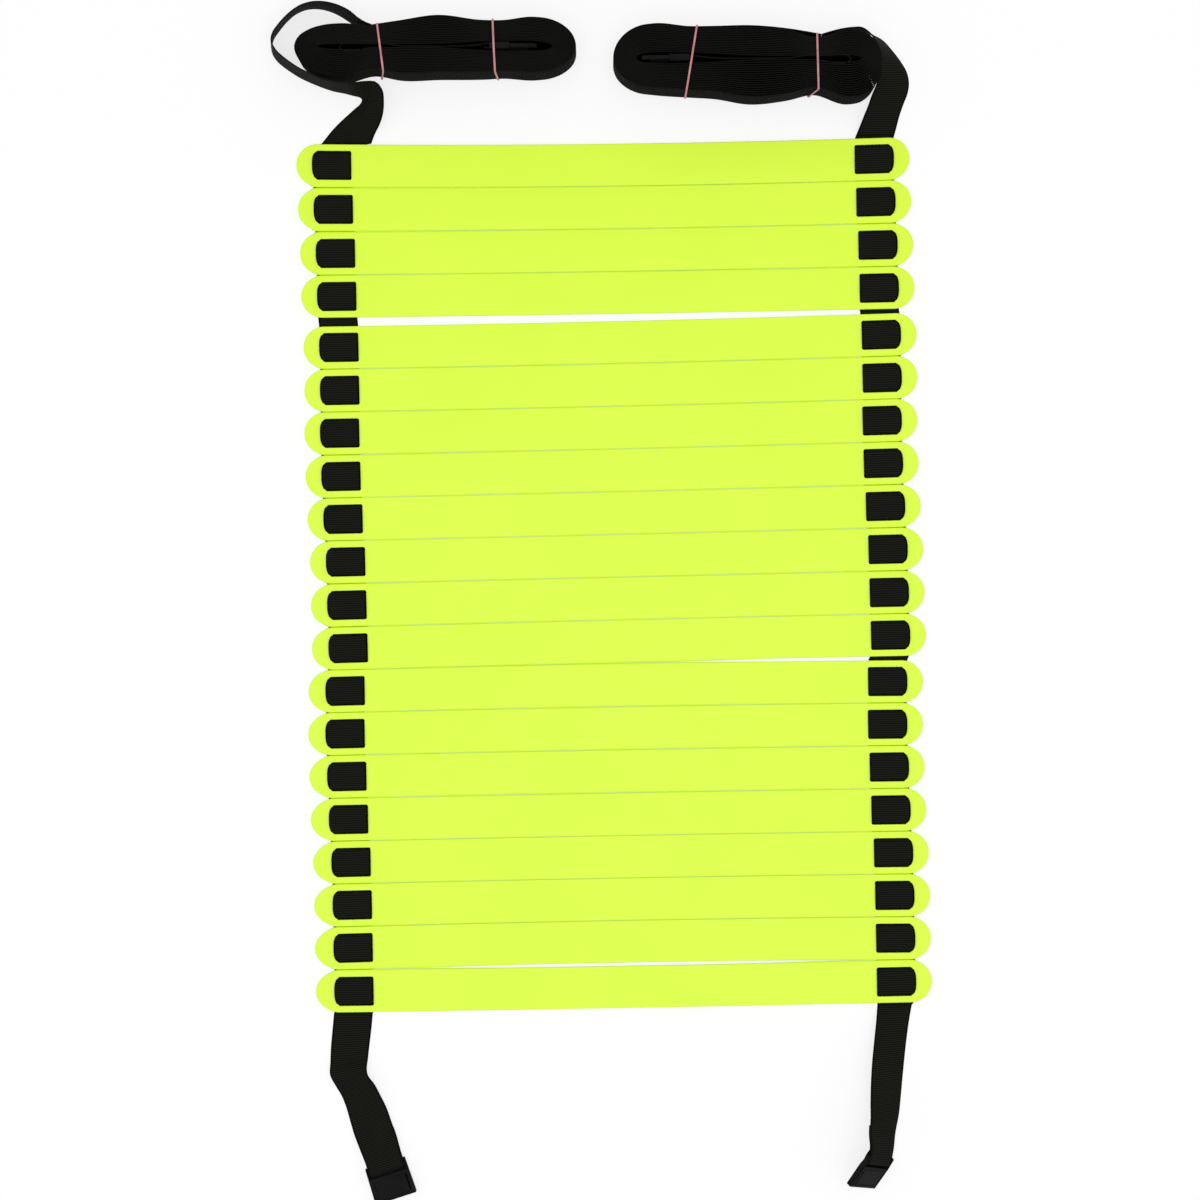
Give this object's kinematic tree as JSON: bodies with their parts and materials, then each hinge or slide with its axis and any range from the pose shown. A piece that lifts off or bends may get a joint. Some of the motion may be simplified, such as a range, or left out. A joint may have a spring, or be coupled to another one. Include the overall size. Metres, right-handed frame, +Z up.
{
  "type": "agility ladder",
  "caption": "Packed agility ladder: flat slotted rungs sliding on two webbing straps, spare webbing wound in banded coils, side-release buckle halves at the ends.",
  "frame": {"origin": "centre of the bounding box's bottom face, on the floor under the middle of the packed ladder", "axes": "+Y along the straps towards the coils, +X along the rungs to the right seen from above, +Z up from the floor"},
  "size_m": [0.5372, 0.9758, 0.0382],
  "materials": {
    "rung": "satin fluorescent yellow-green plastic",
    "webbing": "black woven polypropylene webbing",
    "buckle": "black moulded acetal, slightly glossy",
    "band": "pink-red rubber band"
  },
  "bodies": {
    "coils": {"left_coil": "webbing", "right_coil": "webbing", "left_plug_base": "buckle", "right_plug_base": "buckle", "left_band_1": "band", "left_band_2": "band", "right_band_1": "band", "right_band_2": "band", "left_strap_lead": "webbing", "right_strap_lead": "webbing", "left_strap_woven": "webbing", "right_strap_woven": "webbing"},
    "rung_01": {"rung_01": "rung"},
    "rung_02": {"rung_02": "rung"},
    "rung_03": {"rung_03": "rung"},
    "rung_04": {"rung_04": "rung"},
    "rung_05": {"rung_05": "rung"},
    "rung_06": {"rung_06": "rung"},
    "rung_07": {"rung_07": "rung"},
    "rung_08": {"rung_08": "rung"},
    "rung_09": {"rung_09": "rung"},
    "rung_10": {"rung_10": "rung"},
    "rung_11": {"rung_11": "rung"},
    "rung_12": {"rung_12": "rung"},
    "rung_13": {"rung_13": "rung"},
    "rung_14": {"rung_14": "rung"},
    "rung_15": {"rung_15": "rung"},
    "rung_16": {"rung_16": "rung"},
    "rung_17": {"rung_17": "rung"},
    "rung_18": {"rung_18": "rung"},
    "rung_19": {"rung_19": "rung"},
    "rung_20": {"rung_20": "rung", "left_strap_tail": "webbing", "right_strap_tail": "webbing"},
    "left_socket": {"left_socket": "buckle"},
    "left_plug_upper_arm": {"left_plug_upper_arm": "buckle"},
    "left_plug_lower_arm": {"left_plug_lower_arm": "buckle"},
    "right_socket": {"right_socket": "buckle"},
    "right_plug_upper_arm": {"right_plug_upper_arm": "buckle"},
    "right_plug_lower_arm": {"right_plug_lower_arm": "buckle"}
  },
  "joints": [
    {"name": "rung_01_slide", "type": "slide", "parent": "coils", "child": "rung_01", "axis": [0, 1, 0], "range_m": [-0.345, 0], "deforming": ["left_strap_woven", "right_strap_woven"]},
    {"name": "rung_02_slide", "type": "slide", "parent": "rung_01", "child": "rung_02", "axis": [0, 1, 0], "range_m": [-0.345, 0], "deforming": ["left_strap_woven", "right_strap_woven"]},
    {"name": "rung_03_slide", "type": "slide", "parent": "rung_02", "child": "rung_03", "axis": [0, 1, 0], "range_m": [-0.345, 0], "deforming": ["left_strap_woven", "right_strap_woven"]},
    {"name": "rung_04_slide", "type": "slide", "parent": "rung_03", "child": "rung_04", "axis": [0, 1, 0], "range_m": [-0.345, 0], "deforming": ["left_strap_woven", "right_strap_woven"]},
    {"name": "rung_05_slide", "type": "slide", "parent": "rung_04", "child": "rung_05", "axis": [0, 1, 0], "range_m": [-0.345, 0], "deforming": ["left_strap_woven", "right_strap_woven"]},
    {"name": "rung_06_slide", "type": "slide", "parent": "rung_05", "child": "rung_06", "axis": [0, 1, 0], "range_m": [-0.345, 0], "deforming": ["left_strap_woven", "right_strap_woven"]},
    {"name": "rung_07_slide", "type": "slide", "parent": "rung_06", "child": "rung_07", "axis": [0, 1, 0], "range_m": [-0.345, 0], "deforming": ["left_strap_woven", "right_strap_woven"]},
    {"name": "rung_08_slide", "type": "slide", "parent": "rung_07", "child": "rung_08", "axis": [0, 1, 0], "range_m": [-0.345, 0], "deforming": ["left_strap_woven", "right_strap_woven"]},
    {"name": "rung_09_slide", "type": "slide", "parent": "rung_08", "child": "rung_09", "axis": [0, 1, 0], "range_m": [-0.345, 0], "deforming": ["left_strap_woven", "right_strap_woven"]},
    {"name": "rung_10_slide", "type": "slide", "parent": "rung_09", "child": "rung_10", "axis": [0, 1, 0], "range_m": [-0.345, 0], "deforming": ["left_strap_woven", "right_strap_woven"]},
    {"name": "rung_11_slide", "type": "slide", "parent": "rung_10", "child": "rung_11", "axis": [0, 1, 0], "range_m": [-0.345, 0], "deforming": ["left_strap_woven", "right_strap_woven"]},
    {"name": "rung_12_slide", "type": "slide", "parent": "rung_11", "child": "rung_12", "axis": [0, 1, 0], "range_m": [-0.345, 0], "deforming": ["left_strap_woven", "right_strap_woven"]},
    {"name": "rung_13_slide", "type": "slide", "parent": "rung_12", "child": "rung_13", "axis": [0, 1, 0], "range_m": [-0.345, 0], "deforming": ["left_strap_woven", "right_strap_woven"]},
    {"name": "rung_14_slide", "type": "slide", "parent": "rung_13", "child": "rung_14", "axis": [0, 1, 0], "range_m": [-0.345, 0], "deforming": ["left_strap_woven", "right_strap_woven"]},
    {"name": "rung_15_slide", "type": "slide", "parent": "rung_14", "child": "rung_15", "axis": [0, 1, 0], "range_m": [-0.345, 0], "deforming": ["left_strap_woven", "right_strap_woven"]},
    {"name": "rung_16_slide", "type": "slide", "parent": "rung_15", "child": "rung_16", "axis": [0, 1, 0], "range_m": [-0.345, 0], "deforming": ["left_strap_woven", "right_strap_woven"]},
    {"name": "rung_17_slide", "type": "slide", "parent": "rung_16", "child": "rung_17", "axis": [0, 1, 0], "range_m": [-0.345, 0], "deforming": ["left_strap_woven", "right_strap_woven"]},
    {"name": "rung_18_slide", "type": "slide", "parent": "rung_17", "child": "rung_18", "axis": [0, 1, 0], "range_m": [-0.345, 0], "deforming": ["left_strap_woven", "right_strap_woven"]},
    {"name": "rung_19_slide", "type": "slide", "parent": "rung_18", "child": "rung_19", "axis": [0, 1, 0], "range_m": [-0.345, 0], "deforming": ["left_strap_woven", "right_strap_woven"]},
    {"name": "rung_20_slide", "type": "slide", "parent": "rung_19", "child": "rung_20", "axis": [0, 1, 0], "range_m": [-0.345, 0], "deforming": ["left_strap_woven", "right_strap_woven"]},
    {"name": "left_socket_hinge", "type": "hinge", "parent": "rung_20", "child": "left_socket", "pos_m": [-0.17794, -0.45872, 0.00432], "axis": [-0.9506, -0.3105, 0], "range_deg": [0, 70]},
    {"name": "left_plug_upper_arm_flex", "type": "hinge", "parent": "coils", "child": "left_plug_upper_arm", "pos_m": [-0.07433, 0.45051, 0.03472], "axis": [0, 1, 0], "range_deg": [0, 5], "stiffness_Nm_per_rad": 0.17},
    {"name": "left_plug_lower_arm_flex", "type": "hinge", "parent": "coils", "child": "left_plug_lower_arm", "pos_m": [-0.07433, 0.45051, 0.00351], "axis": [0, -1, 0], "range_deg": [0, 5], "stiffness_Nm_per_rad": 0.17},
    {"name": "right_socket_hinge", "type": "hinge", "parent": "rung_20", "child": "right_socket", "pos_m": [0.22206, -0.4485, 0.02143], "axis": [-0.6581, 0.219, 0.7204], "range_deg": [0, 70]},
    {"name": "right_plug_upper_arm_flex", "type": "hinge", "parent": "coils", "child": "right_plug_upper_arm", "pos_m": [0.05325, 0.4409, 0.03472], "axis": [0, -1, 0], "range_deg": [0, 5], "stiffness_Nm_per_rad": 0.17},
    {"name": "right_plug_lower_arm_flex", "type": "hinge", "parent": "coils", "child": "right_plug_lower_arm", "pos_m": [0.05325, 0.4409, 0.00351], "axis": [0, 1, 0], "range_deg": [0, 5], "stiffness_Nm_per_rad": 0.17}
  ]
}
